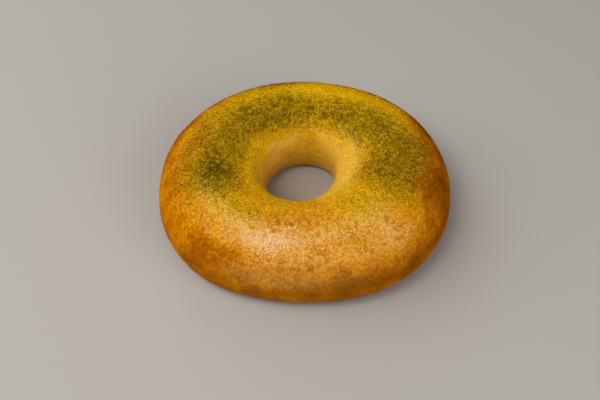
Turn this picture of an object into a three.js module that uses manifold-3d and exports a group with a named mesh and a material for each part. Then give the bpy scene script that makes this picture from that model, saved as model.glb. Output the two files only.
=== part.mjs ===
// A baked bagel with a dusting of fine flakes and meal on its crown.
// Millimetres, +Z up. The bagel lies on its flat sole at z = 0, and the origin is under the middle
// of its outline. +X runs along its longer side, and the dark flakes lie mostly towards +Y.

import * as THREE from "three";
import { ParametricGeometry } from "three/addons/geometries/ParametricGeometry.js";
import { mergeVertices } from "three/addons/utils/BufferGeometryUtils.js";
import Module from "manifold-3d";

// The ring
const MEAN_RADIUS = 57.5; // from the middle out to the widest line of the side
const HEIGHT = 32; // from the sole to the top of the crown
const HOLE_RADIUS = 15; // mean radius of the hole at its narrowest line
const HOLE_SHIFT = { x: -2.2, y: 2.4 }; // the hole was pierced a little off centre

// How far hand shaping takes each line from a circle, as a share of its radius or height.
// turns is the number of waves in one round: 2 makes an oval, 4 flattens its four sides.
const OUTLINE_WAVES = [
  { turns: 2, cos: 0.0556, sin: 0.001 },
  { turns: 4, cos: -0.012, sin: 0 },
  { turns: 5, cos: 0, sin: 0.002 },
];
const HOLE_WAVES = [{ turns: 2, cos: -0.092, sin: 0.057 }];
const CROWN_WAVES = [
  { turns: 1, cos: -0.006, sin: 0.004 },
  { turns: 3, cos: 0.004, sin: -0.006 },
];

// The section through the dough, the same shape all the way round
const CREST_SHARE = 0.473; // where the crown is highest, from the hole's wall to the side
const BELLY_HEIGHT = 10.7; // height of the side's widest line
const WAIST_HEIGHT = 8.7; // height of the hole's narrowest line
const OUTER_FOOT_SHARE = 0.45; // how far the side curls in under the dough, down to the sole
const INNER_FOOT_SHARE = 0.35; // how far the hole's wall curls back under the dough
const SHOULDER_ROUNDNESS = 1.88; // superellipse exponents: 2 is an ellipse, more is fuller
const FUNNEL_ROUNDNESS = 2.3;
const INNER_FOOT_ROUNDNESS = 2;
const OUTER_FOOT_ROUNDNESS = 2.1;

// Facets
const ROUND_STEPS = 72;
const SHOULDER_STEPS = 9;
const FUNNEL_STEPS = 8;
const INNER_FOOT_STEPS = 5;
const SOLE_STEPS = 3;
const OUTER_FOOT_STEPS = 6;

// The largest grains of the dusting, fused to the crust
const GRAIN_SPACING = 6.2; // between neighbours, seen from above
const GRAIN_JITTER = 1.6; // how far a grain lies from its even place
const GRAIN_LENGTH = 1.35;
const GRAIN_WIDTH = 1.05;
const GRAIN_THICKNESS = 0.9; // about half of it stands out of the crust
const GRAIN_SIZE_SPREAD = 0.25; // share by which grains are larger or smaller
const DUSTED_OUTWARD_BACK = 0.58; // how far the dusting reaches from the crest to the side
const DUSTED_OUTWARD_FRONT = 0.8;
const DUSTED_INWARD_BACK = 0.62; // and from the crest to the hole's wall
const DUSTED_INWARD_FRONT = 0.25;

const GOLDEN_ANGLE = Math.PI * (3 - Math.sqrt(5));
const QUARTER = Math.PI / 2;

const crustMaterial = new THREE.MeshStandardMaterial({
  color: 0xc18a24,
  roughness: 0.5,
  metalness: 0,
});

// The sum of a list of waves at an angle
function waves(list, angle) {
  return list.reduce(
    (sum, wave) => sum + wave.cos * Math.cos(wave.turns * angle) + wave.sin * Math.sin(wave.turns * angle),
    0,
  );
}

// Radii and heights of the section's turning points at an angle round the ring
function sectionAt(angle) {
  const belly = MEAN_RADIUS * (1 + waves(OUTLINE_WAVES, angle));
  const shift = HOLE_SHIFT.x * Math.cos(angle) + HOLE_SHIFT.y * Math.sin(angle);
  const waist = HOLE_RADIUS * (1 + waves(HOLE_WAVES, angle)) + shift;
  const crest = waist + (belly - waist) * CREST_SHARE;
  return {
    belly,
    waist,
    crest,
    crown: HEIGHT * (1 + waves(CROWN_WAVES, angle)),
    outerFoot: belly - (belly - crest) * OUTER_FOOT_SHARE,
    innerFoot: waist + (crest - waist) * INNER_FOOT_SHARE,
  };
}

// A point on a superellipse quarter that turns from an upright side to a level tip
function onQuarter(side, tip, roundness, turn) {
  const across = Math.max(Math.cos(turn), 0) ** (2 / roundness);
  const along = Math.max(Math.sin(turn), 0) ** (2 / roundness);
  return {
    radius: tip.radius + (side.radius - tip.radius) * across,
    height: side.height + (tip.height - side.height) * along,
  };
}

// The five stretches of the section, from the widest line over the crown and back under the sole
const stretches = [
  {
    steps: SHOULDER_STEPS,
    at: (s, share) =>
      onQuarter(
        { radius: s.belly, height: BELLY_HEIGHT },
        { radius: s.crest, height: s.crown },
        SHOULDER_ROUNDNESS,
        share * QUARTER,
      ),
  },
  {
    steps: FUNNEL_STEPS,
    at: (s, share) =>
      onQuarter(
        { radius: s.waist, height: WAIST_HEIGHT },
        { radius: s.crest, height: s.crown },
        FUNNEL_ROUNDNESS,
        (1 - share) * QUARTER,
      ),
  },
  {
    steps: INNER_FOOT_STEPS,
    at: (s, share) =>
      onQuarter(
        { radius: s.waist, height: WAIST_HEIGHT },
        { radius: s.innerFoot, height: 0 },
        INNER_FOOT_ROUNDNESS,
        share * QUARTER,
      ),
  },
  {
    steps: SOLE_STEPS,
    at: (s, share) => ({ radius: s.innerFoot + (s.outerFoot - s.innerFoot) * share, height: 0 }),
  },
  {
    steps: OUTER_FOOT_STEPS,
    at: (s, share) =>
      onQuarter(
        { radius: s.belly, height: BELLY_HEIGHT },
        { radius: s.outerFoot, height: 0 },
        OUTER_FOOT_ROUNDNESS,
        (1 - share) * QUARTER,
      ),
  },
];
const SECTION_STEPS = stretches.reduce((sum, stretch) => sum + stretch.steps, 0);

// The ring's surface: u goes round the ring and v round the section, both from 0 to 1
function ringSurface(u, v, target) {
  const angle = u * 2 * Math.PI;
  const section = sectionAt(angle);
  let step = v * SECTION_STEPS;
  let index = 0;
  while (index < stretches.length - 1 && step > stretches[index].steps) {
    step -= stretches[index].steps;
    index += 1;
  }
  const { radius, height } = stretches[index].at(section, step / stretches[index].steps);
  target.set(radius * Math.cos(angle), radius * Math.sin(angle), height);
}

// A place on the crown, and how far it lies from the crest: 0 there, 1 at the side or the hole
function onCrown(x, y) {
  const s = sectionAt(Math.atan2(y, x));
  const radius = Math.hypot(x, y);
  const outward = radius > s.crest;
  const away = outward ? (radius - s.crest) / (s.belly - s.crest) : (s.crest - radius) / (s.crest - s.waist);
  const roundness = outward ? SHOULDER_ROUNDNESS : FUNNEL_ROUNDNESS;
  const edgeHeight = outward ? BELLY_HEIGHT : WAIST_HEIGHT;
  const rise = Math.max(1 - away ** roundness, 0) ** (1 / roundness);
  const height = edgeHeight + (s.crown - edgeHeight) * rise;
  return { place: new THREE.Vector3(x, y, height), outward, away };
}

// The dusting reaches further down the side at the front, and further into the hole at the back
function isDusted(spot) {
  const backness = (1 + Math.sin(Math.atan2(spot.place.y, spot.place.x))) / 2;
  const front = spot.outward ? DUSTED_OUTWARD_FRONT : DUSTED_INWARD_FRONT;
  const back = spot.outward ? DUSTED_OUTWARD_BACK : DUSTED_INWARD_BACK;
  return spot.away < front + (back - front) * backness;
}

// A draw from 0 to 1 that is the same every time for one grain and one purpose
function draw(grain, purpose) {
  const wave = Math.sin(grain * 12.9898 + purpose * 78.233) * 43758.5453;
  return wave - Math.floor(wave);
}

function outwardNormal(x, y) {
  const reach = 0.05;
  const east = onCrown(x + reach, y).place.sub(onCrown(x - reach, y).place);
  const north = onCrown(x, y + reach).place.sub(onCrown(x, y - reach).place);
  return east.cross(north).normalize();
}

// Where each grain lies, how it is turned and how large it is: the even places of a sunflower
// head, each moved a little, kept where they fall on the dusted part of the crown
function grainMatrices() {
  const matrices = [];
  const reach = MEAN_RADIUS * 1.1;
  const count = Math.round((Math.PI * reach ** 2) / GRAIN_SPACING ** 2);
  for (let grain = 0; grain < count; grain += 1) {
    const radius = reach * Math.sqrt((grain + 0.5) / count);
    const x = radius * Math.cos(grain * GOLDEN_ANGLE) + GRAIN_JITTER * (draw(grain, 1) - 0.5);
    const y = radius * Math.sin(grain * GOLDEN_ANGLE) + GRAIN_JITTER * (draw(grain, 2) - 0.5);
    const spot = onCrown(x, y);
    if (!isDusted(spot)) continue;
    const lift = new THREE.Quaternion().setFromUnitVectors(new THREE.Vector3(0, 0, 1), outwardNormal(x, y));
    const spin = new THREE.Quaternion().setFromAxisAngle(
      new THREE.Vector3(0, 0, 1),
      draw(grain, 3) * 2 * Math.PI,
    );
    const size = 1 + GRAIN_SIZE_SPREAD * (2 * draw(grain, 4) - 1);
    const scale = new THREE.Vector3(GRAIN_LENGTH, GRAIN_WIDTH, GRAIN_THICKNESS).multiplyScalar(size);
    matrices.push(new THREE.Matrix4().compose(spot.place, lift.multiply(spin), scale));
  }
  return matrices;
}

const wasm = await Module();
wasm.setup();

function toSolid(geometry) {
  const bare = geometry.clone();
  bare.deleteAttribute("normal");
  bare.deleteAttribute("uv");
  const merged = mergeVertices(bare, 1e-4);
  return new wasm.Manifold(
    new wasm.Mesh({
      numProp: 3,
      vertProperties: new Float32Array(merged.attributes.position.array),
      triVerts: new Uint32Array(merged.index.array),
    }),
  );
}

function toGeometry(solid) {
  const mesh = solid.getMesh();
  const geometry = new THREE.BufferGeometry();
  geometry.setAttribute("position", new THREE.BufferAttribute(mesh.vertProperties, 3));
  geometry.setIndex(new THREE.BufferAttribute(mesh.triVerts, 1));
  geometry.computeVertexNormals();
  return geometry;
}

function bagelGeometry() {
  const ring = new ParametricGeometry(ringSurface, ROUND_STEPS, SECTION_STEPS);
  const grain = new THREE.IcosahedronGeometry(0.5, 0);
  let solid = toSolid(ring);
  for (const matrix of grainMatrices()) {
    solid = solid.add(toSolid(grain.clone().applyMatrix4(matrix)));
  }
  return toGeometry(solid);
}

const bagel = new THREE.Mesh(bagelGeometry(), crustMaterial);
bagel.name = "bagel";

// The origin goes under the middle of the outline.
bagel.geometry.computeBoundingBox();
const middle = bagel.geometry.boundingBox.getCenter(new THREE.Vector3());
bagel.position.set(-middle.x, -middle.y, 0);

const group = new THREE.Group();
group.add(bagel);

export default group;
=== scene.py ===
"""The looks of a golden baked bagel, dusted with dark olive flakes and pale meal.

The crust is one fine mesh of the ring's own formulas, with low relief. The dusting is two joined
meshes of small closed grains. Where things lie is told by two coordinates of the ring:

- angle, round the ring: 0 degrees is the right, 90 the back, 180 the left and 270 the front
- across, over the section: 0 on the crest, 1 on the side's widest line, 2 on the outer edge of the
  sole, -1 on the hole's narrowest line and -2 on the sole's inner edge

Sizes are in millimetres up to the moment a mesh is made, and Blender's objects are in metres.
"""

import math
from itertools import product

import bpy
import numpy as np
from mathutils import Matrix, Vector


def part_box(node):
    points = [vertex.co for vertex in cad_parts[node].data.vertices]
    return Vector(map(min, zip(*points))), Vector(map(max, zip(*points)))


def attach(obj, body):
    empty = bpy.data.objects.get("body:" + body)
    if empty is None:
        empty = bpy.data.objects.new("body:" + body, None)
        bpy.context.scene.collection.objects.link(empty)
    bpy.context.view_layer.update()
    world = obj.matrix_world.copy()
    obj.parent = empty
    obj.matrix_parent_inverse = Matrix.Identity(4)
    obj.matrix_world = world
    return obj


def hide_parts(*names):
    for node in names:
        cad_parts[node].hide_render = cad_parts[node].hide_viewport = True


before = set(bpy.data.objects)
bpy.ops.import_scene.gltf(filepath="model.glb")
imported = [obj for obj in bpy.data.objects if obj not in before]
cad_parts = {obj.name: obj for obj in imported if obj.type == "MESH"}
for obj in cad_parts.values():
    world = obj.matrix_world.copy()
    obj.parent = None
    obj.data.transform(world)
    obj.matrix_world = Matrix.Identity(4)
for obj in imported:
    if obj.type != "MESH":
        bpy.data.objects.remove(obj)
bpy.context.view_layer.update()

MM = 0.001
QUARTER = math.pi / 2

# ---------------------------------------------------------------- the ring's sizes, in millimetres
MEAN_RADIUS = 57.5
HEIGHT = 32.0
HOLE_RADIUS = 15.0
HOLE_SHIFT = (-2.2, 2.4)

# (waves in one round, cosine share, sine share)
OUTLINE_WAVES = ((2, 0.0556, 0.001), (4, -0.012, 0.0), (5, 0.0, 0.002))
HOLE_WAVES = ((2, -0.092, 0.057),)
CROWN_WAVES = ((1, -0.006, 0.004), (3, 0.004, -0.006))

CREST_SHARE = 0.473
BELLY_HEIGHT = 10.7
WAIST_HEIGHT = 8.7
OUTER_FOOT_SHARE = 0.45
INNER_FOOT_SHARE = 0.35
SHOULDER_ROUNDNESS = 1.88
FUNNEL_ROUNDNESS = 2.3
INNER_FOOT_ROUNDNESS = 2.0
OUTER_FOOT_ROUNDNESS = 2.1

# ---------------------------------------------------------------- fineness of the crust's mesh
ROUND_STEPS = 760
SHOULDER_STEPS = 112
FUNNEL_STEPS = 92
INNER_FOOT_STEPS = 14
SOLE_STEPS = 8
OUTER_FOOT_STEPS = 24

# ---------------------------------------------------------------- the crust's relief
# Layers of noise: (strength, size of its lumps in millimetres, seed). The strengths of lumps and
# fine roughness are heights in millimetres, and those of folds and clumps are shares.
LUMP_LAYERS = ((0.22, 17.0, 11), (0.10, 7.0, 12))
ROUGH_LAYERS = ((0.035, 1.2, 13),)
FOLD_LAYERS = ((0.6, 6.5, 14), (0.4, 3.2, 15))
CLUMP_LAYERS = ((0.40, 1.6, 71), (0.38, 0.85, 72), (0.18, 0.55, 73))

FOLD_HEIGHT = 0.26
FOLD_STRETCH = np.array([1.0, 1.0, 2.2])  # folds are longer than they are high
BLISTER_HEIGHT = 0.10
BLISTER_SPACING = 1.9
BLISTER_RADIUS = 1.05
BLISTER_SEED = 31
SUNK = 0.12  # the relief's middle level lies this far inside the smooth ring
SUNK_AT_SIDE = 0.20  # and this much further on the side's widest line, which sets the size

# ---------------------------------------------------------------- the large grains
# They lie where the solid has them. The dusted shares say how far they reach from the crest.
GRAIN_SPACING = 6.2
GRAIN_JITTER = 1.6
GRAIN_REACH = MEAN_RADIUS * 1.1
GRAIN_SIZE = (1.35, 1.05, 0.9)
GRAIN_SIZE_SPREAD = 0.25
GRAIN_ROUGHNESS = 0.08  # how far its corners move, as a share of their distance from its middle
GRAIN_RICHNESS = 0.4  # large grains are kept closer to the crust's own colour than small chips
DARK_FROM = 0.35  # a large grain is dark where flakes lie thicker than this, and than the meal
DUSTED_OUTWARD_BACK = 0.58
DUSTED_OUTWARD_FRONT = 0.8
DUSTED_INWARD_BACK = 0.62
DUSTED_INWARD_FRONT = 0.25
GOLDEN_ANGLE = math.pi * (3 - math.sqrt(5))

# ---------------------------------------------------------------- the small chips
CHIP_SIZE_SKEW = 2.2  # above 1, most chips are near the shortest length
CHIP_NARROWEST = 0.55  # this and the next three are shares of a chip's length
CHIP_WIDTH_SPREAD = 0.4
CHIP_THICKNESS = 0.24
CHIP_SINK = 0.07  # how deep its flat side lies in the crust
CHIP_ROUGHNESS = 0.28  # how far its corners move, as a share of their distance from its middle
CHIP_LEAN = 0.20  # the usual lean, in radians
CHIP_TONE_SKEW = 0.6  # below 1, most chips are near their richest colour
SOWN_ACROSS = (-0.75, 0.95)  # the part of the section that chips are sown over
FLAKES_ACROSS = (-0.75, 0.9)  # and the parts of it that each kind keeps to
MEAL_ACROSS = (-0.6, 1.0)
TRIES_PER_CHIP = 6
DENSEST = 4.0  # above the highest density that a place can have, clumps included
CLUMP_GATHERING = 2.2  # how much thicker chips lie in a clump

# ---------------------------------------------------------------- the camera, as the fit gave it
FRAME_WIDTH = 600
FRAME_HEIGHT = 400
FOCAL_PIXELS = 850.0
SENSOR_WIDTH = 36.0
CAMERA_ELEVATION = math.radians(49.0)
CAMERA_DISTANCE = 346.7
AIM_PIXEL = (304.6, 179.9)  # where the middle of the bagel, half way up, lands in the frame
CLIP_START = 0.01  # in metres

# ---------------------------------------------------------------- the stage, in metres and watts
LIGHT_DISTANCE = 0.9
# (name, degrees from +X towards the back, degrees up, width, power)
LIGHTS = (
    ("left", 185.0, 38.0, 0.8, 4.15),
    ("front_left", 225.0, 60.0, 0.4, 2.50),
    ("front_right", 315.0, 30.0, 0.7, 3.32),
    ("back_left", 117.0, 30.0, 0.7, 1.55),
)
WORLD_COLOUR = (1.0, 0.98, 0.95, 1.0)
WORLD_STRENGTH = 0.13
FLOOR_COLOUR = (0.50, 0.47, 0.43, 1.0)
FLOOR_ROUGHNESS = 0.9
FLOOR_SPECULAR = 0.1
FLOOR_REACH = 4.0

# ---------------------------------------------------------------- colours
GOLD = (0.784, 0.291, 0.001)
LEMON = (0.840, 0.464, 0.001)
AMBER = (0.521, 0.147, 0.001)
BROWN = (0.195, 0.051, 0.001)
YELLOW = (0.530, 0.312, 0.001)  # of the crust between the flakes
OLIVE = (0.112, 0.065, 0.001)
DARK_BROWN = (0.112, 0.042, 0.001)
# pale dough on the hole's folds, and the painted sheen and light on its wall
PALE = (0.93, 0.56, 0.12)
# fine pale flour, and the painted highlight on the front
FLOUR_AND_HIGHLIGHT = (1.00, 0.64, 0.30)
# painted shade
PAINTED_SHADE_COLOUR = (0.353, 0.160, 0.009)
SOLE_BROWN = (0.372, 0.149, 0.019)

# Each kind of grain: the poorest on gold crust, the poorest on yellow crust, and the richest
FLAKE_COLOURS = ((0.24, 0.13, 0.002), (0.24, 0.14, 0.002), (0.06, 0.034, 0.001))
MEAL_COLOURS = ((0.76, 0.32, 0.008), (0.58, 0.36, 0.005), (1.00, 0.74, 0.34))
FLAKE_SHADER_ROUGHNESS = 0.75
MEAL_SHADER_ROUGHNESS = 0.6
GRAIN_SPECULAR = 0.05

# The coat gives the gloss, where there is any
COAT_ROUGHNESS = 0.24
COAT_IOR = 1.6

# Sizes of the lumps in the materials' noise, in millimetres
BROAD_TONE = 9.0
NARROW_TONE = 1.8
SOLE_TONE = 6.0
GRIT = 1.15
PORES = 0.55
GLOSS_BREAK = 2.4
GRAIN_TONE = 0.4
GRIT_BUMP = 0.05  # bumps' heights
PORE_BUMP = 0.04


# ================================================================ small numeric helpers
def smooth(low, high, x):
    """0 at low, 1 at high, and a soft step between them. low may be the higher of the two."""
    t = np.clip((x - low) / (high - low), 0.0, 1.0)
    return t * t * (3.0 - 2.0 * t)


def degrees_from(angle, centre):
    """Signed gap in degrees between angles in radians and one angle in degrees."""
    return (np.degrees(angle) - centre + 180.0) % 360.0 - 180.0


def patch(angle, across, at, reach):
    """A soft patch that is 1 at its middle: at and reach are (degrees round, distance across)."""
    round_part = degrees_from(angle, at[0]) / reach[0]
    across_part = (across - at[1]) / reach[1]
    return np.exp(-(round_part**2) - across_part**2)


def with_patches(field, angle, across, patches):
    """The field with soft patches added: each is (strength, at, reach)."""
    for strength, at, reach in patches:
        field = field + strength * patch(angle, across, at, reach)
    return field


def within(across, limits):
    """Whether places across lie between two limits."""
    return (across > limits[0]) & (across < limits[1])


def sector(angle, start, end, fade):
    """1 between two angles in degrees, falling to 0 over fade degrees outside them."""
    middle = (start + end) / 2.0
    half = (end - start) / 2.0
    return 1.0 - smooth(half, half + fade, np.abs(degrees_from(angle, middle)))


def lattice_draw(cell, seed):
    """A number from 0 to 1 for each lattice cell, the same in every run.

    The long numbers are odd multipliers that scramble a whole number's 32 bits.
    """
    mask = np.uint64(0xFFFFFFFF)
    mixed = (cell * np.array([374761393, 668265263, 1440662683])).sum(axis=1) + seed * 974634777
    mixed = mixed.astype(np.uint64) & mask
    mixed = ((mixed ^ (mixed >> np.uint64(13))) * np.uint64(1274126177)) & mask
    mixed = ((mixed ^ (mixed >> np.uint64(16))) * np.uint64(2246822519)) & mask
    return ((mixed ^ (mixed >> np.uint64(15))) & mask).astype(float) / float(mask)


def value_noise(points, size, seed):
    """Smooth noise from -1 to 1 whose lumps are about size millimetres across."""
    cell = np.floor(points / size)
    share = points / size - cell
    share = share * share * (3.0 - 2.0 * share)
    cell = cell.astype(np.int64)
    total = np.zeros(len(points))
    for corner in product((0, 1), repeat=3):
        weight = np.where(corner, share, 1 - share).prod(axis=1)
        total += weight * lattice_draw(cell + corner, seed)
    return total * 2.0 - 1.0


def layered_noise(points, layers):
    """The sum of layers of noise."""
    return sum(strength * value_noise(points, size, seed) for strength, size, seed in layers)


def blister_field(points, spacing, radius, seed):
    """Low domes at jittered lattice points: 1 on top of the largest dome, 0 between them."""
    own_cell = np.floor(points / spacing).astype(np.int64)
    field = np.zeros(len(points))
    for step in product((-1, 0, 1), repeat=3):
        cell = own_cell + step
        draws = [lattice_draw(cell, seed + k) for k in range(4)]
        top = (cell + np.stack(draws[:3], axis=1)) * spacing
        size = 0.55 + 0.45 * draws[3]
        gap = np.linalg.norm(points - top, axis=1) / (radius * size)
        field = np.maximum(field, size * np.clip(1.0 - gap**2, 0.0, 1.0))
    return field


# ================================================================ the ring's form
def waves(table, angle):
    """The sum of a table of waves at angles round the ring."""
    total = np.zeros_like(angle)
    for turns, cosine, sine in table:
        total += cosine * np.cos(turns * angle) + sine * np.sin(turns * angle)
    return total


def section_at(angle):
    """Radii and the crown's height at angles round the ring."""
    belly = MEAN_RADIUS * (1 + waves(OUTLINE_WAVES, angle))
    shift = HOLE_SHIFT[0] * np.cos(angle) + HOLE_SHIFT[1] * np.sin(angle)
    waist = HOLE_RADIUS * (1 + waves(HOLE_WAVES, angle)) + shift
    crest = waist + (belly - waist) * CREST_SHARE
    return {
        "belly": belly,
        "waist": waist,
        "crest": crest,
        "crown": HEIGHT * (1 + waves(CROWN_WAVES, angle)),
        "outer_foot": belly - (belly - crest) * OUTER_FOOT_SHARE,
        "inner_foot": waist + (crest - waist) * INNER_FOOT_SHARE,
    }


def on_quarter(side, tip, roundness, turn):
    """Radius and height on a superellipse quarter from an upright side to a level tip.

    side and tip are each (radius, height).
    """
    cosine = np.clip(np.cos(turn), 0.0, 1.0) ** (2 / roundness)
    sine = np.clip(np.sin(turn), 0.0, 1.0) ** (2 / roundness)
    return tip[0] + (side[0] - tip[0]) * cosine, side[1] + (tip[1] - side[1]) * sine


def ring_points(angle, across):
    """Points of the smooth ring for places across from -2 to 2, which is all but the flat sole."""
    s = section_at(angle)
    belly = (s["belly"], BELLY_HEIGHT)
    crest = (s["crest"], s["crown"])
    waist = (s["waist"], WAIST_HEIGHT)
    outer_foot = (s["outer_foot"], 0.0)
    inner_foot = (s["inner_foot"], 0.0)
    under_side = on_quarter(belly, outer_foot, OUTER_FOOT_ROUNDNESS, (across - 1) * QUARTER)
    shoulder = on_quarter(belly, crest, SHOULDER_ROUNDNESS, (1 - across) * QUARTER)
    funnel = on_quarter(waist, crest, FUNNEL_ROUNDNESS, (1 + across) * QUARTER)
    under_wall = on_quarter(waist, inner_foot, INNER_FOOT_ROUNDNESS, (-1 - across) * QUARTER)
    where = [across > 1, across >= 0, across >= -1]
    radius = np.select(where, [under_side[0], shoulder[0], funnel[0]], under_wall[0])
    height = np.select(where, [under_side[1], shoulder[1], funnel[1]], under_wall[1])
    return np.stack([radius * np.cos(angle), radius * np.sin(angle), height], axis=1)


def ring_normals(angle, across):
    """Outward normals of the smooth ring."""
    step = 1e-3
    low = np.clip(across - step, -2.0, 2.0)
    high = np.clip(across + step, -2.0, 2.0)
    round_way = ring_points(angle + step, across) - ring_points(angle - step, across)
    down_way = ring_points(angle, high) - ring_points(angle, low)
    normal = np.cross(down_way, round_way)
    return normal / (np.linalg.norm(normal, axis=1, keepdims=True) + 1e-12)


def ring_middle():
    """How far the middle of the ring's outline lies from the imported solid's."""
    turn = np.arange(ROUND_STEPS) * 2 * math.pi / ROUND_STEPS
    outline = ring_points(turn, np.ones_like(turn))
    low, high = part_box("bagel")
    solid = np.array((low + high) / 2) / MM
    middle = (outline.min(axis=0) + outline.max(axis=0)) / 2 - solid
    middle[2] = 0.0
    return middle


# ================================================================ relief
def on_wall(across):
    """1 on the hole's wall, where the dough folded as the hole was shaped."""
    return smooth(-0.36, -0.58, across) * smooth(-1.5, -1.1, across)


def folding(points):
    """Soft folds round the hole, from -1 to 1."""
    return layered_noise(points * FOLD_STRETCH, FOLD_LAYERS)


def clumping(points):
    """How the dusting gathers, from 0 in a gap to 1 in the thick of a clump."""
    return np.clip(0.5 + layered_noise(points, CLUMP_LAYERS), 0.0, 1.0)


def relief(across, points):
    """How far the crust stands out of the smooth ring, in millimetres."""
    crown = smooth(-0.75, -0.35, across) * (1.0 - 0.6 * smooth(0.65, 0.95, across))
    above_sole = smooth(0.0, 2.5, points[:, 2])
    lumps = layered_noise(points, LUMP_LAYERS)
    sunk = SUNK + SUNK_AT_SIDE * np.exp(-(((across - 1.0) / 0.35) ** 2))
    folds = FOLD_HEIGHT * folding(points) * on_wall(across)
    blisters = BLISTER_HEIGHT * blister_field(points, BLISTER_SPACING, BLISTER_RADIUS, BLISTER_SEED)
    rough = layered_noise(points, ROUGH_LAYERS)
    return (lumps - sunk + folds + (blisters + rough) * crown) * above_sole


# ================================================================ where things lie on the ring
# The patches are listed one by one. Each list goes round the ring, from the right by the back:
# (strength, (degrees, across), (reach in degrees, reach across)).
FLAKE_PATCHES = (
    (-0.16, (4, -0.08), (12, 0.08)),
    (0.14, (5, 0.14), (14, 0.20)),
    (-0.28, (6, -0.25), (16, 0.09)),
    (0.36, (9, 0.40), (12, 0.11)),  # dark on the right shoulder
    (-0.16, (12, 0.10), (12, 0.08)),
    (-0.10, (24, 0.08), (14, 0.08)),
    (-0.14, (26, 0.36), (14, 0.12)),
    (0.10, (28, -0.06), (14, 0.10)),
    (-0.09, (60, -0.18), (42, 0.08)),
    (-0.10, (66, 0.24), (12, 0.10)),
    (-0.24, (70, -0.47), (18, 0.08)),
    (-0.24, (72, 0.05), (24, 0.13)),
    (-0.14, (75, -0.16), (10, 0.08)),
    (0.16, (84, 0.34), (44, 0.16)),
    (0.24, (106, -0.08), (9, 0.09)),
    (0.12, (110, 0.32), (14, 0.10)),
    (0.22, (112, 0.20), (14, 0.14)),
    (0.30, (120, -0.39), (13, 0.11)),
    (-0.12, (120, -0.12), (12, 0.08)),
    (-0.12, (122, 0.02), (10, 0.07)),
    (0.12, (130, 0.34), (24, 0.12)),
    (0.16, (140, -0.24), (18, 0.12)),
    (-0.08, (148, 0.02), (12, 0.06)),
    (-0.22, (150, 0.06), (12, 0.08)),
    (0.18, (150, 0.28), (12, 0.10)),
    (-0.14, (172, -0.10), (14, 0.08)),
    (-0.26, (172, 0.18), (16, 0.10)),
    (0.28, (174, -0.33), (16, 0.10)),
    (-0.12, (188, 0.20), (12, 0.07)),
    (0.22, (190, 0.42), (10, 0.11)),
    (1.40, (193, -0.02), (9, 0.12)),  # the dense dark spot
    (0.34, (198, 0.10), (7, 0.08)),
    (-0.40, (211, 0.24), (9, 0.12)),  # clear crust in front of the dark spot
    (-0.22, (213, -0.32), (14, 0.12)),
    (0.16, (229, 0.03), (10, 0.09)),
    (0.16, (235, 0.10), (8, 0.08)),
    (0.08, (238, -0.22), (26, 0.10)),
    (0.16, (246, 0.02), (12, 0.10)),
    (0.14, (304, -0.12), (10, 0.12)),
    (0.13, (318, 0.03), (14, 0.12)),
    (0.08, (320, 0.10), (14, 0.10)),
    (-0.15, (340, -0.12), (8, 0.06)),
    (0.12, (343, 0.24), (9, 0.10)),
    (-0.25, (345, 0.50), (14, 0.12)),
    (0.14, (346, 0.00), (10, 0.12)),
    (0.18, (355, 0.36), (9, 0.10)),
)


def flake_density(angle, across):
    """How thickly the dark flakes lie: in a band round the right, the back and the left.

    Its middle lies on the crest at its ends, and inside it at the back.
    """
    backness = np.clip(np.sin(angle), 0.0, 1.0)
    middle = 0.03 - 0.36 * backness**1.3
    outward = 0.36 - 0.04 * backness
    inward = 0.36 - 0.10 * backness
    gap = np.where(across > middle, (across - middle) / outward, (middle - across) / inward)
    band = 1.0 - smooth(0.35, 1.35, gap)
    field = 0.78 * band * sector(angle, start=-14.0, end=202.0, fade=28.0)
    field = with_patches(field, angle, across, FLAKE_PATCHES)
    return np.clip(field, 0.0, 1.9) * within(across, FLAKES_ACROSS)


def flake_richness(angle, across):
    """How dark the flakes may be: darkest where they lie thick."""
    return 0.4 + 0.6 * flake_density(angle, across)


def powder(angle, across, clump):
    """How thickly the finest dark powder lies: mostly in the clumps of the flakes."""
    return flake_density(angle, across) * (0.18 + 0.76 * clump**2)


# Pale meal, and a painted highlight at the front's palest spot
MEAL_AND_HIGHLIGHT_PATCHES = (
    (0.10, (12, -0.38), (36, 0.08)),
    (0.08, (95, -0.52), (46, 0.07)),
    (0.32, (220, 0.19), (17, 0.11)),
    (0.16, (226, 0.40), (12, 0.12)),
    (-0.20, (226, 0.66), (12, 0.12)),
    (-0.36, (239, 0.51), (7, 0.09)),  # clear crust, left of the palest spot
    (-0.08, (243, 0.36), (5, 0.07)),
    (0.30, (252, 0.31), (11, 0.11)),
    (0.40, (254, 0.30), (7, 0.07)),  # the palest spot of the front: pale meal and a painted highlight
    (0.10, (262, 0.76), (18, 0.08)),
    (0.12, (263, 0.13), (6, 0.05)),
    (0.12, (272, 0.24), (10, 0.08)),
    (0.07, (272, 0.82), (28, 0.10)),
    (0.06, (275, -0.05), (36, 0.20)),
    (0.10, (290, 0.25), (9, 0.08)),
    (-0.20, (295, 0.38), (8, 0.08)),
    (0.04, (302, 0.42), (16, 0.12)),
    (-0.08, (302, 0.64), (20, 0.08)),
    (0.14, (309, 0.27), (8, 0.07)),
    (0.14, (321, 0.49), (8, 0.07)),
)


def meal_and_highlight_density(angle, across):
    """How thickly the pale meal lies: over the front of the crown, thinly all round, and thickest at the
    painted highlight.
    """
    middle = 0.36
    gap = np.where(across < middle, middle - across, 0.75 * (across - middle)) / 0.39
    front = (1.0 - smooth(0.3, 1.15, gap)) * sector(angle, start=242.0, end=312.0, fade=18.0)
    thin = 0.04 * (1.0 - smooth(0.4, 0.7, np.abs(across)))
    field = with_patches(0.30 * front + thin, angle, across, MEAL_AND_HIGHLIGHT_PATCHES)
    return np.clip(field, 0.0, 1.0) * within(across, MEAL_ACROSS)


def paleness(across):
    """How pale the meal is: less so low on the side, where it is baked like the crust."""
    return 1.0 - 0.55 * smooth(0.45, 0.8, across)


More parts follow.
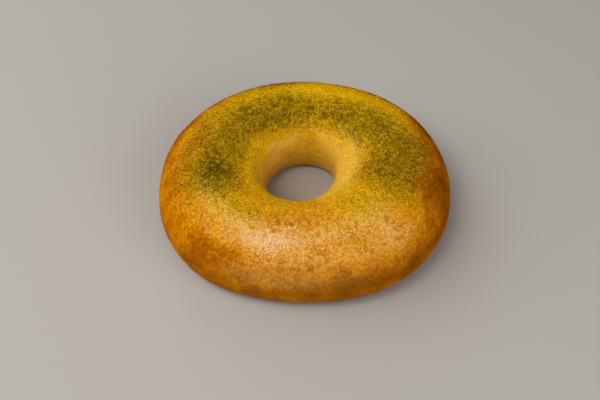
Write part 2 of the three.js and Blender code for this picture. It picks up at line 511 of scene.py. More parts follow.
def meal_richness(angle, across):
    """How pale the grains of meal may be: palest where they lie thick, as at the painted highlight."""
    return np.clip(0.02 + 2.1 * meal_and_highlight_density(angle, across), 0.0, 1.0) * paleness(across)


def bareness(angle, across, clump):
    """How bare the crust is amid the meal: -1 in a clump, 1 in a gap, and 0 where there is no meal."""
    meal = np.clip(2.2 * meal_and_highlight_density(angle, across), 0.0, 1.0) * paleness(across)
    return (1.0 - 2.0 * clump) * meal


# Fine flour, and a painted highlight on the front's palest spot
FLOUR_AND_HIGHLIGHT_PATCHES = (
    (0.20, (252, 0.36), (9, 0.10)),
    (0.60, (256, 0.28), (5, 0.05)),  # painted highlight: the palest spot of the front
    (0.08, (260, 0.76), (18, 0.09)),
)


def flour_and_highlight(angle, across):
    """How much fine pale flour lies between the grains of meal, with a painted highlight on the front.
    """
    field = 0.24 * meal_and_highlight_density(angle, across) * paleness(across)
    return np.clip(with_patches(field, angle, across, FLOUR_AND_HIGHLIGHT_PATCHES), 0.0, 1.0)


# Painted sheen and painted light on the hole's wall
PAINTED_WALL_SHEEN_PATCHES = (
    (0.16, (0, -0.54), (14, 0.10)),
    (0.26, (14, -0.60), (26, 0.12)),
    (0.26, (16, -0.42), (24, 0.09)),
    (0.36, (24, -0.74), (24, 0.10)),  # low on the back right of the wall
    (0.22, (48, -0.62), (12, 0.06)),
    (0.30, (54, -0.79), (16, 0.09)),
    (0.08, (112, -0.72), (18, 0.12)),
    (0.14, (120, -0.80), (16, 0.10)),
    (0.20, (134, -0.80), (20, 0.10)),
    (0.20, (172, -0.82), (30, 0.14)),
    (0.16, (174, -0.66), (18, 0.10)),
    (0.12, (201, -0.54), (14, 0.10)),
    (0.12, (226, -0.52), (26, 0.10)),
    (0.16, (298, -0.32), (14, 0.10)),
    (0.48, (330, -0.44), (30, 0.13)),  # painted light: the lit right side of the funnel
)


def painted_wall_sheen(angle, across):
    """How far painted sheen and painted light pale the smooth dough of the hole's wall: low all round
    and in patches.
    """
    field = 0.10 * smooth(-0.62, -0.80, across)
    return np.clip(with_patches(field, angle, across, PAINTED_WALL_SHEEN_PATCHES), 0.0, 1.0)


# Painted shade in the hole
PAINTED_SHADE_PATCHES = (
    (0.22, (112, -0.58), (28, 0.10)),
    (-0.20, (136, -0.84), (20, 0.12)),
    (0.14, (186, -0.84), (16, 0.12)),
)


def painted_shade_share(angle, across):
    """How much painted shade darkens the crust: low in the hole, and low on the front."""
    wall = 0.36 * smooth(-0.70, -1.05, across)
    front = 0.20 * smooth(0.55, 0.95, across) * sector(angle, start=242.0, end=292.0, fade=14.0)
    return np.clip(with_patches(wall + front, angle, across, PAINTED_SHADE_PATCHES), 0.0, 1.0)


GLOSS_PATCHES = (
    (1.00, (256, 0.29), (15, 0.14)),  # the highlight, on the palest spot of the front
)


def gloss(angle, across):
    """How glossy the crust is: satin under the side and on the hole's wall, glossy on the front."""
    field = 0.30 * smooth(1.0, 1.3, across) + 0.35 * smooth(-0.60, -0.85, across)
    return np.clip(with_patches(field, angle, across, GLOSS_PATCHES), 0.0, 1.0)


GRAIN_PATCHES = (
    (0.30, (222, 0.38), (22, 0.26)),
    (0.60, (268, 0.80), (32, 0.18)),
)


def graininess(angle, across):
    """How strongly fine grit shows in the crust: most on the crown and the front, least on the sides."""
    crown = smooth(-0.75, -0.5, across) * (1.0 - smooth(0.5, 0.85, across))
    field = 0.35 + 0.65 * crown + 0.25 * on_wall(across)
    return with_patches(field, angle, across, GRAIN_PATCHES)


TOAST_PATCHES = (
    (0.26, (9, 0.40), (12, 0.11)),
    (0.12, (28, 0.36), (12, 0.10)),
    (0.14, (58, 0.44), (18, 0.11)),
    (0.12, (62, 0.40), (12, 0.10)),
    (0.14, (82, -0.74), (10, 0.13)),
    (0.32, (104, 0.32), (10, 0.14)),
    (0.10, (108, 0.12), (20, 0.12)),
    (0.36, (112, 0.42), (22, 0.12)),  # the browned shoulder at the back
    (0.12, (120, 0.26), (12, 0.10)),
    (0.10, (152, 0.48), (20, 0.14)),
    (0.08, (160, 0.12), (26, 0.18)),
    (0.14, (160, 0.34), (12, 0.10)),
    (-0.12, (166, 0.62), (14, 0.12)),
    (0.14, (172, 0.28), (18, 0.14)),
    (0.36, (192, 0.46), (11, 0.12)),  # brown outside the dark spot
    (-0.10, (200, 0.84), (18, 0.20)),
    (0.06, (213, 0.50), (9, 0.12)),
    (0.06, (214, 0.60), (8, 0.12)),
    (0.08, (215, -0.72), (26, 0.18)),
    (0.08, (218, 0.52), (20, 0.18)),
    (0.26, (237, 0.50), (9, 0.10)),
    (0.08, (238, -0.10), (16, 0.10)),
    (-0.15, (240, 0.66), (8, 0.12)),
    (0.05, (256, 0.75), (9, 0.08)),
    (0.20, (262, -0.42), (18, 0.14)),
    (0.18, (262, 0.04), (24, 0.12)),
    (0.12, (263, 0.60), (9, 0.10)),
    (0.14, (267, 0.95), (14, 0.06)),
    (-0.10, (281, 0.70), (8, 0.10)),
    (-0.04, (286, 0.20), (16, 0.12)),
    (0.15, (295, 0.36), (9, 0.10)),
    (0.27, (300, 0.88), (16, 0.13)),  # low on the right of the front: toasted, and painted shade as well
    (-0.09, (314, 0.62), (18, 0.12)),
    (0.18, (326, 0.90), (10, 0.12)),
    (0.18, (340, 0.42), (7, 0.12)),
    (0.24, (346, 0.64), (14, 0.22)),
    (0.34, (351, 0.48), (13, 0.20)),  # the browned shoulder on the right
)


def toast(angle, across):
    """How far the crust is toasted: 0 is gold, a half is amber and 1 is brown."""
    back = smooth(-0.2, 0.5, np.sin(angle))
    shoulder = (0.40 + 0.20 * back) * smooth(0.35 - 0.05 * back, 0.75 - 0.15 * back, across)
    foot = 0.35 * smooth(1.35, 1.75, across) + 0.08 * smooth(0.7, 1.0, across)
    return np.clip(with_patches(shoulder + foot, angle, across, TOAST_PATCHES), 0.0, 1.0)


LEMON_PATCHES = (
    (-0.35, (12, 0.26), (12, 0.12)),
    (-0.50, (30, 0.42), (20, 0.12)),  # gold on the back right shoulder
    (0.30, (75, 0.05), (36, 0.14)),
    (-0.25, (80, -0.72), (10, 0.12)),
    (-0.50, (102, 0.30), (12, 0.14)),
    (0.20, (110, -0.66), (16, 0.10)),
    (-0.30, (150, -0.76), (20, 0.12)),
    (-0.40, (156, 0.10), (28, 0.20)),
    (-0.20, (178, 0.30), (18, 0.16)),
    (0.50, (220, 0.15), (12, 0.08)),
    (0.70, (224, 0.02), (14, 0.12)),  # yellow where the front meets the left
    (0.30, (228, 0.20), (14, 0.08)),
    (0.35, (238, -0.20), (26, 0.10)),
    (0.35, (248, 0.88), (20, 0.14)),
    (0.30, (258, 0.06), (10, 0.06)),
    (-0.30, (262, -0.45), (14, 0.14)),
    (0.30, (270, 0.84), (26, 0.12)),
    (-0.30, (278, -0.28), (12, 0.12)),
    (0.30, (285, -0.17), (24, 0.09)),
    (0.10, (288, 0.36), (26, 0.18)),
    (0.20, (300, -0.12), (28, 0.08)),
    (0.80, (314, 0.06), (22, 0.15)),  # and where it meets the right
    (0.25, (315, -0.20), (20, 0.12)),
)


def lemon(angle, across):
    """How far the gold leans to yellow: at the back of the crown and inside the funnel."""
    back = smooth(-0.20, 0.45, np.sin(angle)) * (1.0 - smooth(0.4, 0.8, across))
    funnel = smooth(-0.15, -0.45, across)
    field = np.maximum(0.75 * back, funnel)
    return np.clip(with_patches(field, angle, across, LEMON_PATCHES), 0.0, 1.0)


def yellowness(angle, across):
    """How yellow the poorest grains are: as yellow as the crust under them."""
    return np.clip(lemon(angle, across) + 1.5 * flake_density(angle, across), 0.0, 1.0)


# ================================================================ meshes
def make_mesh(name, points, faces, smooth_shading):
    """An object from points in millimetres and faces that all have the same number of corners."""
    mesh = bpy.data.meshes.new(name)
    corners = faces.shape[1]
    mesh.vertices.add(len(points))
    mesh.vertices.foreach_set("co", (points * MM).astype(np.float32).ravel())
    mesh.loops.add(faces.size)
    mesh.loops.foreach_set("vertex_index", faces.astype(np.int32).ravel())
    mesh.polygons.add(len(faces))
    mesh.polygons.foreach_set("loop_start", np.arange(0, faces.size, corners, dtype=np.int32))
    mesh.update(calc_edges=True)
    mesh.validate()
    if smooth_shading:
        mesh.shade_smooth()
    else:
        mesh.shade_flat()
    obj = bpy.data.objects.new(name, mesh)
    bpy.context.scene.collection.objects.link(obj)
    return obj


def store(obj, name, values):
    """Keeps one number for each vertex, for the material to read."""
    attribute = obj.data.attributes.new(name, "FLOAT", "POINT")
    attribute.data.foreach_set("value", values.astype(np.float32))


def section_rows():
    """Where each row of the crust mesh lies: its place across, and its share of the flat sole or -1."""
    rows = [(1 - k / SHOULDER_STEPS, -1.0) for k in range(SHOULDER_STEPS)]
    rows += [(-k / FUNNEL_STEPS, -1.0) for k in range(FUNNEL_STEPS)]
    rows += [(-1 - k / INNER_FOOT_STEPS, -1.0) for k in range(INNER_FOOT_STEPS)]
    rows += [(-2.0, k / SOLE_STEPS) for k in range(SOLE_STEPS)]
    rows += [(2 - k / OUTER_FOOT_STEPS, -1.0) for k in range(OUTER_FOOT_STEPS)]
    return np.array(rows)


def grid_faces(row_count):
    """Four-sided faces of rows that close round the ring, the last row joined to the first."""
    row, column = np.meshgrid(np.arange(row_count), np.arange(ROUND_STEPS), indexing="ij")
    next_row = (row + 1) % row_count
    next_column = (column + 1) % ROUND_STEPS
    corners = ((next_row, column), (next_row, next_column), (row, next_column), (row, column))
    return np.stack([(r * ROUND_STEPS + c).ravel() for r, c in corners], axis=1)


def crust_surface():
    """Points and faces of the crust, and for each point its angle, place across and whether it is
    on the flat sole."""
    rows = section_rows()
    turn = np.arange(ROUND_STEPS) * 2 * math.pi / ROUND_STEPS
    angle = np.tile(turn, len(rows))
    across = np.repeat(rows[:, 0], ROUND_STEPS)
    sole_share = np.repeat(rows[:, 1], ROUND_STEPS)
    on_sole = sole_share >= 0
    points = ring_points(angle, across)
    s = section_at(angle)
    radius = s["inner_foot"] + (s["outer_foot"] - s["inner_foot"]) * sole_share
    sole = np.stack([radius * np.cos(angle), radius * np.sin(angle), np.zeros_like(angle)], axis=1)
    points = np.where(on_sole[:, None], sole, points)
    lift = np.where(on_sole, 0.0, relief(across, points))
    points = points + ring_normals(angle, across) * lift[:, None]
    points[:, 2] = np.maximum(points[:, 2], 0.0)
    return points, grid_faces(len(rows)), angle, across, on_sole


# ================================================================ grains
def pyramid():
    """Points and faces of a unit pyramid with its tip off centre: a chip that lies on its flat side."""
    points = np.array([(0.5, 0, 0), (0, 0.5, 0), (-0.5, 0, 0), (0, -0.5, 0), (0.18, 0.10, 1)], float)
    sides = [(k, (k + 1) % 4, 4) for k in range(4)]
    return points, np.array(sides + [(0, 2, 1), (0, 3, 2)])


def icosahedron():
    """Points and faces of an icosahedron one unit across."""
    t = (1 + math.sqrt(5)) / 2
    signs = [(-1, t, 0), (1, t, 0), (-1, -t, 0), (1, -t, 0)]
    points = signs + [(0, a, b) for a, b, _ in signs] + [(b, 0, a) for a, b, _ in signs]
    faces = (
        (0, 11, 5), (0, 5, 1), (0, 1, 7), (0, 7, 10), (0, 10, 11), (1, 5, 9), (5, 11, 4),
        (11, 10, 2), (10, 7, 6), (7, 1, 8), (3, 9, 4), (3, 4, 2), (3, 2, 6), (3, 6, 8),
        (3, 8, 9), (4, 9, 5), (2, 4, 11), (6, 2, 10), (8, 6, 7), (9, 8, 1),
    )
    unit = np.array(points, float)
    return unit / np.linalg.norm(unit[0]) * 0.5, np.array(faces)


def basis_on(normals, spin):
    """Axes of grains that lie flat on the surface, each turned by its spin about the normal."""
    helper = np.where(np.abs(normals[:, 2:3]) < 0.9, [[0.0, 0.0, 1.0]], [[1.0, 0.0, 0.0]])
    east = np.cross(helper, normals)
    east /= np.linalg.norm(east, axis=1, keepdims=True)
    north = np.cross(normals, east)
    cosine = np.cos(spin)[:, None]
    sine = np.sin(spin)[:, None]
    return east * cosine + north * sine, north * cosine - east * sine, normals


def tilted(axes, rng, spread):
    """The same axes, each leaning a little in a direction of its own."""
    lean = rng.normal(0.0, spread, (len(axes[0]), 2))
    up = axes[2] + axes[0] * lean[:, :1] + axes[1] * lean[:, 1:]
    up /= np.linalg.norm(up, axis=1, keepdims=True)
    east = axes[0] - up * np.sum(axes[0] * up, axis=1, keepdims=True)
    east /= np.linalg.norm(east, axis=1, keepdims=True)
    return east, np.cross(up, east), up


def surface_frames(angle, across, spin, sink):
    """Where grains lie on the crust, and their axes. sink is how deep their middles are."""
    smooth_points = ring_points(angle, across)
    normals = ring_normals(angle, across)
    lift = relief(across, smooth_points) - sink
    return smooth_points + normals * lift[:, None], basis_on(normals, spin)


def scattered(shape, centres, axes, sizes, roughness, rng):
    """One set of points and faces of many copies of a shape, each with its corners moved a little."""
    corners, faces = shape
    count = len(centres)
    jitter = 1.0 + roughness * (rng.random((count, len(corners), 1)) * 2 - 1)
    local = corners[None] * jitter * sizes[:, None, :]
    points = centres[:, None, :] + sum(local[:, :, k : k + 1] * axes[k][:, None, :] for k in range(3))
    indices = faces[None] + (np.arange(count) * len(corners))[:, None, None]
    return points.reshape(-1, 3), indices.reshape(-1, 3)


def draw(grain, purpose):
    """A draw from 0 to 1 that is the same every time for one grain and one purpose."""
    wave = math.sin(grain * 12.9898 + purpose * 78.233) * 43758.5453
    return wave - math.floor(wave)


def is_dusted(angle, outward, away):
    """Whether the solid has grains at a place. away is 0 on the crest and 1 at the side or the hole."""
    backness = (1 + math.sin(angle)) / 2
    front = DUSTED_OUTWARD_FRONT if outward else DUSTED_INWARD_FRONT
    back = DUSTED_OUTWARD_BACK if outward else DUSTED_INWARD_BACK
    return away < front + (back - front) * backness


def place_across(outward, away):
    """The place across of a point that is so far away from the crest, seen from above."""
    roundness = SHOULDER_ROUNDNESS if outward else FUNNEL_ROUNDNESS
    turn = math.acos(min(away ** (roundness / 2), 1.0))
    return (1 - turn / QUARTER) * (1 if outward else -1)


def solid_grains():
    """Angle, place across, spin and size of the grains that the solid has."""
    count = round(math.pi * GRAIN_REACH**2 / GRAIN_SPACING**2)
    found = []
    for grain in range(count):
        radius = GRAIN_REACH * math.sqrt((grain + 0.5) / count)
        x = radius * math.cos(grain * GOLDEN_ANGLE) + GRAIN_JITTER * (draw(grain, 1) - 0.5)
        y = radius * math.sin(grain * GOLDEN_ANGLE) + GRAIN_JITTER * (draw(grain, 2) - 0.5)
        angle = math.atan2(y, x)
        s = {name: float(value) for name, value in section_at(np.array(angle)).items()}
        out = math.hypot(x, y) - s["crest"]
        outward = out > 0
        away = out / (s["belly"] - s["crest"]) if outward else -out / (s["crest"] - s["waist"])
        if not is_dusted(angle, outward, away):
            continue
        spin = draw(grain, 3) * 2 * math.pi
        size = 1 + GRAIN_SIZE_SPREAD * (2 * draw(grain, 4) - 1)
        found.append((angle, place_across(outward, away), spin, size))
    return np.array(found).T


def sown(density, evenness, count, rng):
    """Angles and places across of chips sown over the crown's area by a density.

    evenness is the share of the chips that lies evenly, outside the clumps.
    """
    start, end = SOWN_ACROSS
    tries = TRIES_PER_CHIP * count
    angles = []
    places = []
    need = count
    while need > 0:
        angle = rng.random(tries) * 2 * math.pi
        across = start + (end - start) * rng.random(tries)
        points = ring_points(angle, across)
        stretch = np.linalg.norm(ring_points(angle, across + 0.01) - points, axis=1)
        area = stretch * np.linalg.norm(points[:, :2], axis=1)
        clump = smooth(0.30, 0.75, clumping(points))
        gathered = evenness + (1.0 - evenness) * CLUMP_GATHERING * clump
        keep = rng.random(tries) < density(angle, across) * gathered * area / (area.max() * DENSEST)
        angles.append(angle[keep])
        places.append(across[keep])
        need -= int(keep.sum())
    return np.concatenate(angles)[:count], np.concatenate(places)[:count]


# ================================================================ materials
class Graph:
    """Shorthand for the nodes of one material."""

    def __init__(self, name):
        self.material = bpy.data.materials.new(name)
        self.material.use_nodes = True
        self.tree = self.material.node_tree
        self.tree.nodes.clear()
        output = self.tree.nodes.new("ShaderNodeOutputMaterial")
        self.shader = self.tree.nodes.new("ShaderNodeBsdfPrincipled")
        self.link(self.shader.outputs[0], output.inputs["Surface"])

    def link(self, source, target):
        self.tree.links.new(source, target)

    def feed(self, socket, value):
        """Links another node's output, or sets a plain value."""
        if isinstance(value, bpy.types.NodeSocket):
            self.link(value, socket)
        else:
            socket.default_value = value

    def set(self, name, value):
        """Sets one of the shader's own inputs."""
        self.feed(self.shader.inputs[name], value)

    def field(self, name):
        """What store() kept under this name."""
        node = self.tree.nodes.new("ShaderNodeAttribute")
        node.attribute_name = name
        return node.outputs["Fac"]

    def place(self):
        return self.tree.nodes.new("ShaderNodeTexCoord").outputs["Object"]

    def noise(self, size, detail=2.0, roughness=0.5):
        """Noise from about 0 to 1 whose lumps are about size millimetres across."""
        node = self.tree.nodes.new("ShaderNodeTexNoise")
        self.link(self.place(), node.inputs["Vector"])
        node.inputs["Scale"].default_value = 1.0 / (size * MM)
        node.inputs["Detail"].default_value = detail
        node.inputs["Roughness"].default_value = roughness
        return node.outputs["Fac"]

    def math(self, kind, a, b):
        node = self.tree.nodes.new("ShaderNodeMath")
        node.operation = kind
        self.feed(node.inputs[0], a)
        self.feed(node.inputs[1], b)
        return node.outputs[0]

    def window(self, value, low, high, to_low=0.0, to_high=1.0):
        """value moved softly from the range low..high to another, and held within it."""
        node = self.tree.nodes.new("ShaderNodeMapRange")
        node.interpolation_type = "SMOOTHSTEP"
        self.feed(node.inputs["Value"], value)
        node.inputs["From Min"].default_value = low
        node.inputs["From Max"].default_value = high
        node.inputs["To Min"].default_value = to_low
        node.inputs["To Max"].default_value = to_high
        return node.outputs["Result"]

    def mix(self, share, a, b, blend="MIX"):
        """Colour a, with a share of colour b mixed in."""
        node = self.tree.nodes.new("ShaderNodeMix")
        node.data_type = "RGBA"
        node.blend_type = blend
        node.clamp_factor = True
        sockets = {socket.identifier: socket for socket in node.inputs}
        self.feed(sockets["Factor_Float"], share)
        self.feed(sockets["A_Color"], (*a, 1.0) if isinstance(a, tuple) else a)
        self.feed(sockets["B_Color"], (*b, 1.0) if isinstance(b, tuple) else b)
        return next(socket for socket in node.outputs if socket.identifier == "Result_Color")

    def shade(self, value):
        """A grey as bright as value."""
        node = self.tree.nodes.new("ShaderNodeCombineColor")
        for channel in node.inputs:
            self.link(value, channel)
        return node.outputs["Color"]

    def bump(self, height, distance, below=None):
        """distance is the bump's full height in millimetres."""
        node = self.tree.nodes.new("ShaderNodeBump")
        self.feed(node.inputs["Height"], height)
        node.inputs["Distance"].default_value = distance * MM
        node.inputs["Strength"].default_value = 1.0
        if below is not None:
            self.link(below, node.inputs["Normal"])
        return node.outputs["Normal"]

    def coat(self):
        """A thin clear coat, as strong as the stored gloss."""
        self.set("Coat Weight", self.field("gloss"))
        self.set("Coat Roughness", COAT_ROUGHNESS)
        self.set("Coat IOR", COAT_IOR)


def toasting(g, bare):
    """How far the crust is toasted, with uneven tone, and more in the gaps of the meal."""
    broad = g.window(g.noise(BROAD_TONE, 2.0), 0.25, 0.75, -0.16, 0.16)
    narrow = g.window(g.noise(NARROW_TONE, 3.0, 0.6), 0.25, 0.75, -0.09, 0.09)
    uneven = g.math("ADD", g.field("toast"), g.math("ADD", broad, narrow))
    return g.math("ADD", uneven, g.window(bare, -1.0, 1.0, -0.08, 0.16))


def baked_colour(g, toasted, grit):
    """Gold that leans to yellow in places and in its lighter grit, toasted to amber and brown."""
    leaning = g.math("ADD", g.field("lemon"), g.window(grit, 0.4, 1.0, 0.0, 0.32))
    colour = g.mix(leaning, GOLD, LEMON)
    colour = g.mix(g.field("flakes"), colour, YELLOW)
    colour = g.mix(g.window(toasted, 0.05, 0.60), colour, AMBER)
    return g.mix(g.window(toasted, 0.30, 1.05), colour, BROWN)


def with_grit(g, colour, grit, bare):
    """Lighter and darker with the grit, and darker in the gaps of the meal."""
    grainy = g.math("MULTIPLY", g.field("grain"), g.window(grit, 0.0, 1.0, -0.24, 0.18))
    gaps = g.window(bare, -1.0, 1.0, 1.02, 0.86)
    return g.mix(1.0, colour, g.shade(g.math("ADD", grainy, gaps)), "MULTIPLY")


def with_folds(g, colour):
    """The hole's folds, pale on top and amber between, then the painted sheen and light on its wall, and
    the painted shade.
    """
    folds = g.field("folds")
    colour = g.mix(g.window(folds, 0.10, 0.55, 0.0, 0.40), colour, PALE)
    colour = g.mix(g.window(folds, -0.55, -0.10, 0.28, 0.0), colour, AMBER)
    # painted sheen and painted light on the hole's wall
    colour = g.mix(g.field("painted_wall_sheen"), colour, PALE)
    # painted shade, low in the hole and on the front
    return g.mix(g.field("painted_shade"), colour, PAINTED_SHADE_COLOUR)


def with_dust(g, colour, toasted, grit, bare):
    """The finest flour, with a painted highlight on the front, and dark powder, which lie thick and thin
    between the grains.
    """
    veil = g.math("MULTIPLY", g.window(grit, 0.0, 1.0, 0.6, 1.4), g.window(bare, -0.8, 0.8, 1.5, 0.5))
    colour = g.mix(g.math("MULTIPLY", g.field("flour_and_highlight"), veil), colour, FLOUR_AND_HIGHLIGHT)
    dark = g.math("MULTIPLY", g.field("powder"), g.window(grit, 0.0, 1.0, 1.35, 0.65))
    return g.mix(dark, colour, g.mix(g.window(toasted, 0.2, 0.6), OLIVE, DARK_BROWN))


def with_sole(g, colour):
    """The sole, browned unevenly."""
    tone = g.window(g.noise(SOLE_TONE, 4.0, 0.6), 0.3, 0.7, 0.55, 1.0)
    return g.mix(g.math("MULTIPLY", g.field("sole"), tone), colour, SOLE_BROWN)


def crust_material():
    g = Graph("crust")
    bare = g.field("bare")
    grit = g.window(g.noise(GRIT, 4.0, 0.66), 0.34, 0.66)
    toasted = toasting(g, bare)
    colour = baked_colour(g, toasted, grit)
    colour = with_grit(g, colour, grit, bare)
    colour = with_folds(g, colour)
    colour = with_dust(g, colour, toasted, grit, bare)
    g.set("Base Color", with_sole(g, colour))
    g.set("Roughness", g.window(g.noise(GLOSS_BREAK, 2.0), 0.3, 0.7, 0.50, 0.64))
    g.set("Specular IOR Level", 0.0)
    g.coat()
    pores = g.bump(g.noise(PORES, 2.0, 0.6), PORE_BUMP)
    g.set("Normal", g.bump(grit, GRIT_BUMP, pores))
    return g.material


def grain_material(name, colours, roughness):
    """Grains whose colour runs from poor to rich with their tone, and darkens on toasted crust."""
    poor_on_gold, poor_on_yellow, rich = colours
    g = Graph(name)
    tone = g.math("ADD", g.field("tone"), g.window(g.noise(GRAIN_TONE), 0.3, 0.7, -0.08, 0.08))
    poor = g.mix(g.field("yellow"), poor_on_gold, poor_on_yellow)
    colour = g.mix(g.window(tone, 0.0, 1.0), poor, rich)
    colour = g.mix(g.window(g.field("toast"), 0.1, 0.8, 0.0, 0.9), colour, BROWN)
    g.set("Base Color", colour)
    g.set("Roughness", roughness)
    g.set("Specular IOR Level", GRAIN_SPECULAR)
    g.coat()
    return g.material


# ================================================================ pieces
CRUST_FIELDS = (
    ("toast", toast),
    ("flakes", flake_density),
    ("flour_and_highlight", flour_and_highlight),
    ("painted_wall_sheen", painted_wall_sheen),
    ("painted_shade", painted_shade_share),
    ("gloss", gloss),
    ("grain", graininess),
    ("lemon", lemon),
)

GRAIN_FIELDS = (
    ("toast", toast),
    ("gloss", gloss),
    ("yellow", yellowness),
)

# evenness is the share of the chips that lies outside the clumps, lengths are the shortest and the
# longest chip, and rim is how rich in colour a chip's rim is beside its tip.
# A chip's rim takes more of the crust's colour than its tip: partly glaze wetting it, partly painted
# shade and bounce light.
FLAKES = {
    "density": flake_density,
    "richness": flake_richness,
    "evenness": 0.46,
    "count": 26000,
    "lengths": (0.36, 0.84),
    "rim": 0.55,
    "seed": 21,
}

MEAL = {
    "density": meal_and_highlight_density,
    "richness": meal_richness,
    "evenness": 0.30,
    "count": 7600,
    "lengths": (0.52, 1.35),
    "rim": 0.50,
    "seed": 22,
}


def make_crust(middle):
    points, faces, angle, across, on_sole = crust_surface()
    crust = make_mesh("bagel_crust", points - middle, faces, smooth_shading=True)
    for name, field in CRUST_FIELDS:
        store(crust, name, field(angle, across))
    smooth_points = ring_points(angle, across)
    clump = clumping(smooth_points)
    store(crust, "powder", powder(angle, across, clump))
    store(crust, "bare", bareness(angle, across, clump))
    store(crust, "folds", folding(smooth_points) * on_wall(across))
    store(crust, "sole", np.where(on_sole, 1.0, smooth(1.55, 1.95, np.abs(across))))
    crust.data.materials.append(crust_material())
    return crust


def small_chips(kind, rng):
    """The many small chips of one kind, sown by its density."""
    shape = pyramid()
    count = kind["count"]
    shortest, longest = kind["lengths"]
    angle, across = sown(kind["density"], kind["evenness"], count, rng)
    length = shortest + (longest - shortest) * rng.random(count) ** CHIP_SIZE_SKEW
    width = length * (CHIP_NARROWEST + CHIP_WIDTH_SPREAD * rng.random(count))
    sizes = np.stack([length, width, length * CHIP_THICKNESS], axis=1)
    spin = rng.random(count) * 2 * math.pi
    centres, axes = surface_frames(angle, across, spin, CHIP_SINK * length)
    axes = tilted(axes, rng, CHIP_LEAN)
    points, faces = scattered(shape, centres, axes, sizes, CHIP_ROUGHNESS, rng)
    # the rim: partly wet with glaze, partly painted shade and bounce light from the crust
    corner_tone = np.where(shape[0][:, 2] > 0, 1.0, kind["rim"])
    tone = kind["richness"](angle, across) * rng.random(count) ** CHIP_TONE_SKEW
    return {
        "points": points,
        "faces": faces,
        "tone": np.outer(tone, corner_tone).ravel(),
        "angle": np.repeat(angle, len(corner_tone)),
        "across": np.repeat(across, len(corner_tone)),
    }


def large_grains(kind, places, rng):
    """The large grains of one kind, at some of the places where the solid has them."""
    shape = icosahedron()
    corner_count = len(shape[0])
    angle, across, spin, scale = places
    count = len(spin)
    centres, axes = surface_frames(angle, across, spin, np.zeros(count))
    sizes = np.array(GRAIN_SIZE)[None] * scale[:, None]
    points, faces = scattered(shape, centres, axes, sizes, GRAIN_ROUGHNESS, rng)
    tone = GRAIN_RICHNESS * kind["richness"](angle, across) * rng.random(count)
    return {
        "points": points,
        "faces": faces,
        "tone": np.repeat(tone, corner_count),
        "angle": np.repeat(angle, corner_count),
        "across": np.repeat(across, corner_count),
    }


def make_grains(name, kind, places, middle, material):
    """One piece of all the grains of one kind, small and large."""
    rng = np.random.default_rng(kind["seed"])
    small = small_chips(kind, rng)
    large = large_grains(kind, places, rng)
    points = np.vstack([small["points"], large["points"]]) - middle
    faces = np.vstack([small["faces"], large["faces"] + len(small["points"])])
    piece = make_mesh(name, points, faces, smooth_shading=False)
    store(piece, "tone", np.concatenate([small["tone"], large["tone"]]))
    angle = np.concatenate([small["angle"], large["angle"]])
    across = np.concatenate([small["across"], large["across"]])
    for field_name, field in GRAIN_FIELDS:
        store(piece, field_name, field(angle, across))
    piece.data.materials.append(material)
    return piece


def make_bagel(middle):
    crust = make_crust(middle)
    places = solid_grains()
    flake_share = flake_density(places[0], places[1])
    meal_share = meal_and_highlight_density(places[0], places[1])
    dark = flake_share > np.maximum(meal_share, DARK_FROM)
    flakes_look = grain_material("flakes", FLAKE_COLOURS, FLAKE_SHADER_ROUGHNESS)
    meal_look = grain_material("meal", MEAL_COLOURS, MEAL_SHADER_ROUGHNESS)
    flakes = make_grains("dark_flakes", FLAKES, places[:, dark], middle, flakes_look)
    meal = make_grains("pale_meal", MEAL, places[:, ~dark], middle, meal_look)
    for piece, slot in ((crust, "crust"), (flakes, "flakes"), (meal, "meal")):
        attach(piece, "root")
        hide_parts("bagel")


# ================================================================ stage
def make_floor():
    mesh = bpy.data.meshes.new("floor")
    corners = [(x * FLOOR_REACH, y * FLOOR_REACH, 0) for x, y in ((-1, -1), (1, -1), (1, 1), (-1, 1))]
    mesh.from_pydata(corners, [], [(0, 1, 2, 3)])
    floor = bpy.data.objects.new("floor", mesh)
    bpy.context.scene.collection.objects.link(floor)
    g = Graph("floor")
    g.set("Base Color", FLOOR_COLOUR)
    g.set("Roughness", FLOOR_ROUGHNESS)
    g.set("Specular IOR Level", FLOOR_SPECULAR)
    mesh.materials.append(g.material)


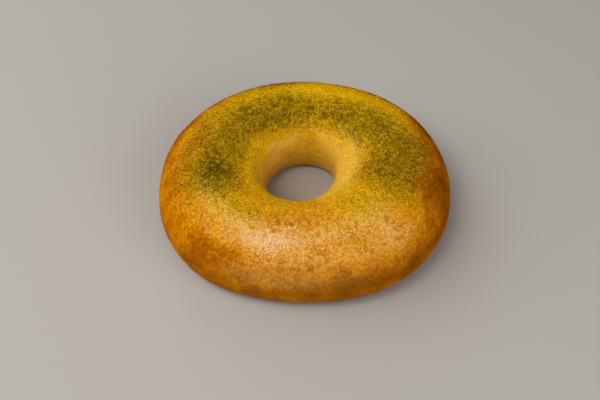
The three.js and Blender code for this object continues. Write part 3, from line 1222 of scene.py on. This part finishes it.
def make_light(name, side, elevation, width, watts):
    """A soft square light that faces the bagel."""
    data = bpy.data.lights.new(name, "AREA")
    data.energy = watts
    data.size = width
    light = bpy.data.objects.new(name, data)
    bpy.context.scene.collection.objects.link(light)
    turn = math.radians(side)
    rise = math.radians(elevation)
    way = Vector((math.cos(rise) * math.cos(turn), math.cos(rise) * math.sin(turn), math.sin(rise)))
    light.location = way * LIGHT_DISTANCE
    aim = Vector((0.0, 0.0, HEIGHT / 2 * MM)) - light.location
    light.rotation_euler = aim.to_track_quat("-Z", "Y").to_euler()


def make_world():
    world = bpy.data.worlds.new("studio")
    world.use_nodes = True
    background = world.node_tree.nodes["Background"]
    background.inputs["Color"].default_value = WORLD_COLOUR
    background.inputs["Strength"].default_value = WORLD_STRENGTH
    bpy.context.scene.world = world


def make_camera(middle):
    """Looks at the bagel from the front, with no lens shift: the aim puts its middle on AIM_PIXEL."""
    target = np.array([0.0, 0.0, HEIGHT / 2]) - middle
    back = np.array([0.0, -math.cos(CAMERA_ELEVATION), math.sin(CAMERA_ELEVATION)])
    data = bpy.data.cameras.new("camera")
    data.sensor_width = SENSOR_WIDTH
    data.lens = FOCAL_PIXELS * SENSOR_WIDTH / FRAME_WIDTH
    data.clip_start = CLIP_START
    camera = bpy.data.objects.new("camera", data)
    bpy.context.scene.collection.objects.link(camera)
    camera.location = (target + back * CAMERA_DISTANCE) * MM
    yaw = math.atan((AIM_PIXEL[0] - FRAME_WIDTH / 2) / FOCAL_PIXELS)
    pitch = CAMERA_ELEVATION + math.atan((FRAME_HEIGHT / 2 - AIM_PIXEL[1]) / FOCAL_PIXELS)
    right = Vector((1.0, 0.0, 0.0))
    ahead = Vector((0.0, math.cos(pitch), -math.sin(pitch)))
    up = right.cross(ahead)
    turned_ahead = ahead * math.cos(yaw) - right * math.sin(yaw)
    turned_right = turned_ahead.cross(up)
    turned = Matrix((turned_right, up, -turned_ahead)).transposed()
    camera.rotation_euler = turned.to_euler()
    bpy.context.scene.camera = camera


bagel_middle = ring_middle()
make_camera(bagel_middle)
make_world()
make_floor()
for light_facts in LIGHTS:
    make_light(*light_facts)
make_bagel(bagel_middle)
bpy.context.scene.view_settings.view_transform = "Standard"
